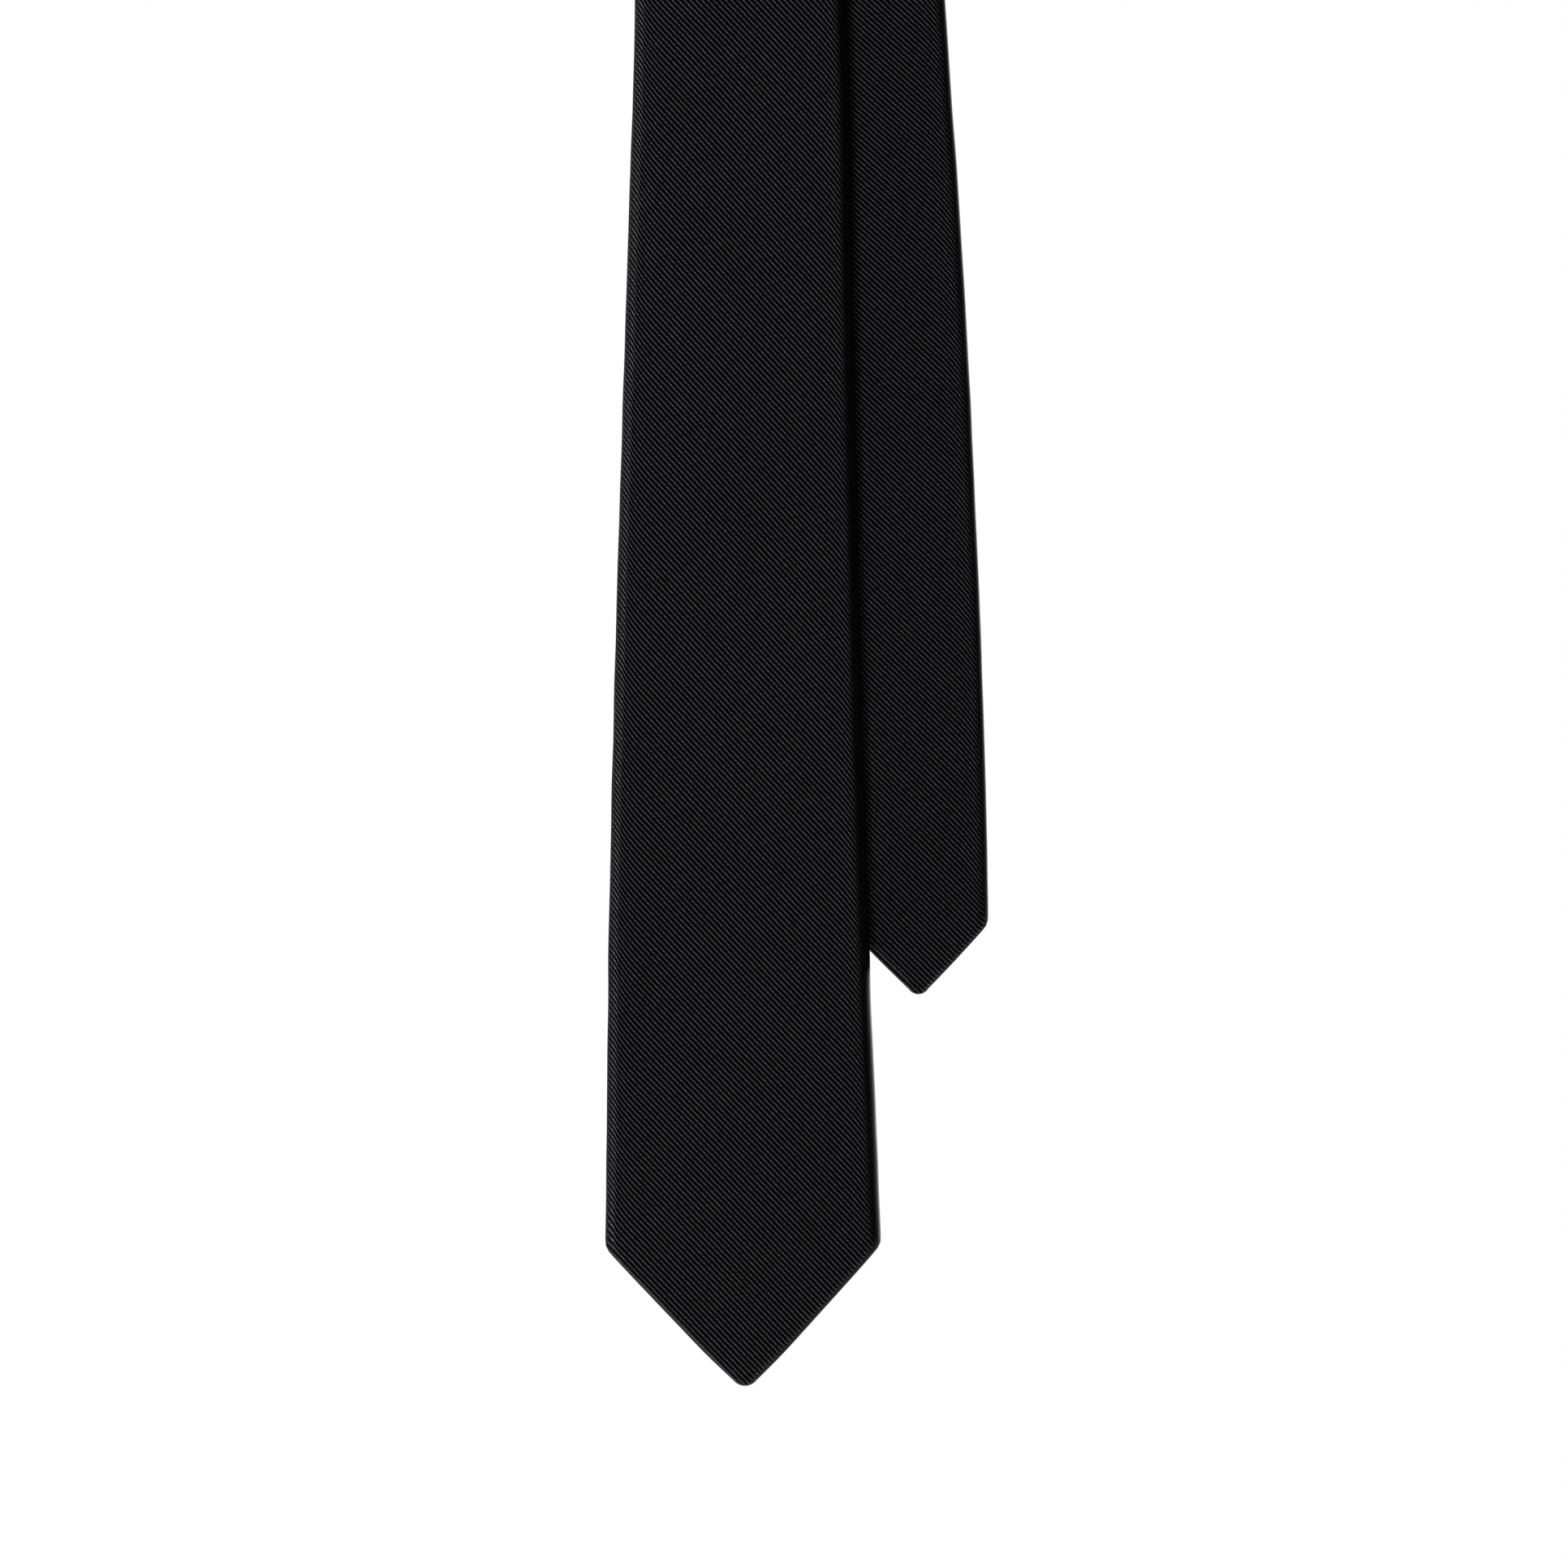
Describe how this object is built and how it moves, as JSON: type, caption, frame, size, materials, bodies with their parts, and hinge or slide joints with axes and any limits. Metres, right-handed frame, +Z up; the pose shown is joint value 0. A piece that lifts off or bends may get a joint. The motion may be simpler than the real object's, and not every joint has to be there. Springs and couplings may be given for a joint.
{
  "type": "necktie",
  "caption": "Slim ribbed necktie hanging from its folded neckband, with pointed blade and tail, lined tips, keeper loop, blank labels and swinging ends.",
  "frame": {"origin": "inside the top of the neck fold, where the tongue of a hanger or display card bears, midway between the two hanging limbs", "axes": "+Z up along the hanging tie, +X to the right of someone facing the tie's right side, -Y towards them"},
  "size_m": [0.0975, 0.0112, 0.7807],
  "materials": {
    "shell_cloth": "black diagonal rib, soft sheen",
    "interlining_wool": "brushed, matt",
    "lining_satin": "smooth black satin",
    "sewing_thread": "twisted black thread",
    "label_satin": "woven black label, blank",
    "care_tape": "white satin tape, blank"
  },
  "bodies": {
    "neck": {"shell_neck": "shell_cloth", "interlining_neck": "interlining_wool", "slip_stitch_neck": "sewing_thread"},
    "blade": {"shell_blade": "shell_cloth", "interlining_blade": "interlining_wool", "tipping_blade": "lining_satin", "slip_stitch_blade": "sewing_thread", "bar_tack_blade": "sewing_thread", "keeper_loop": "shell_cloth", "keeper_tack_left": "sewing_thread", "keeper_tack_right": "sewing_thread", "maker_label": "label_satin", "label_stitches_left": "sewing_thread", "label_stitches_right": "sewing_thread", "care_label_stitches": "sewing_thread"},
    "tail": {"shell_tail": "shell_cloth", "interlining_tail": "interlining_wool", "tipping_tail": "lining_satin", "slip_stitch_tail": "sewing_thread", "bar_tack_tail": "sewing_thread", "spare_thread_loop": "sewing_thread"},
    "care_label": {"care_label": "care_tape"}
  },
  "joints": [
    {"name": "blade_swing", "type": "hinge", "parent": "neck", "child": "blade", "pos_m": [-0.0235, -0.0056, -0.1615], "axis": [-1, 0, 0], "range_deg": [0, 75]},
    {"name": "tail_swing", "type": "hinge", "parent": "neck", "child": "tail", "pos_m": [0.023, 0.0011, -0.1575], "axis": [1, 0, 0], "range_deg": [0, 75]},
    {"name": "care_label_lift", "type": "hinge", "parent": "blade", "child": "care_label", "pos_m": [-0.0146, -0.00025, -0.6149], "axis": [1, 0, 0], "range_deg": [0, 110]}
  ]
}
